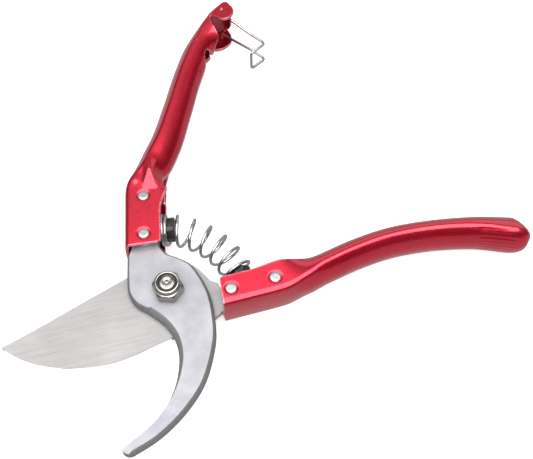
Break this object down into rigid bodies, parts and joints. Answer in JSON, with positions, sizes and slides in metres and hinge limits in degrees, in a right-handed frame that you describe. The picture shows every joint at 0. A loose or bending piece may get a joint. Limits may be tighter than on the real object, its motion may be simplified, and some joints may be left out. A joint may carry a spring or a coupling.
{
  "type": "pruning shears",
  "caption": "Bypass pruning shears with a hooked counter blade, pivot bolt and lock nut, coil return spring, pressed steel handles and a swinging wire catch.",
  "frame": {"origin": "on the pivot axis, at the outer face of the pivot bolt's head, which is also the plane the shears lie on", "axes": "+Z along the pivot axis from the bolt head to the nut; +X roughly along the blade side's handle, away from the jaws; +Y roughly along the hook side's handle"},
  "size_m": [0.1917, 0.195, 0.0199],
  "materials": {
    "red_paint": "glossy metallic red enamel on pressed sheet steel",
    "ground_steel": "satin ground steel",
    "nickel": "bright nickel plate",
    "black_plastic": "matt black moulded plastic",
    "spring_wire": "bright plated round wire"
  },
  "bodies": {
    "hook_side": {"hook_plate": "ground_steel", "pivot_bolt": "nickel", "head_washer": "nickel", "pivot_nut": "nickel", "nut_insert": "black_plastic", "left_handle": "red_paint", "left_rivet_inner": "nickel", "left_rivet_outer": "nickel", "left_spacer_inner_front": "ground_steel", "left_spacer_inner_back": "ground_steel", "left_spacer_outer_front": "ground_steel", "left_spacer_outer_back": "ground_steel", "left_spring_plug": "black_plastic", "coil_spring": "spring_wire"},
    "blade_side": {"cutting_blade": "ground_steel", "right_handle": "red_paint", "right_rivet_inner": "nickel", "right_rivet_outer": "nickel", "right_spacer_inner_front": "ground_steel", "right_spacer_inner_back": "ground_steel", "right_spacer_outer_front": "ground_steel", "right_spacer_outer_back": "ground_steel", "right_spring_plug": "black_plastic"},
    "catch": {"catch_wire": "spring_wire"}
  },
  "joints": [
    {"name": "pivot", "type": "hinge", "parent": "hook_side", "child": "blade_side", "pos_m": [0, 0, 0.009], "axis": [0, 0, 1], "range_deg": [0, 58], "stiffness_Nm_per_rad": 1.2, "deforming": ["coil_spring"]},
    {"name": "catch_swing", "type": "hinge", "parent": "hook_side", "child": "catch", "pos_m": [0.01574, 0.12953, 0.009], "axis": [0, 0, 1], "range_deg": [-35, 38]}
  ]
}
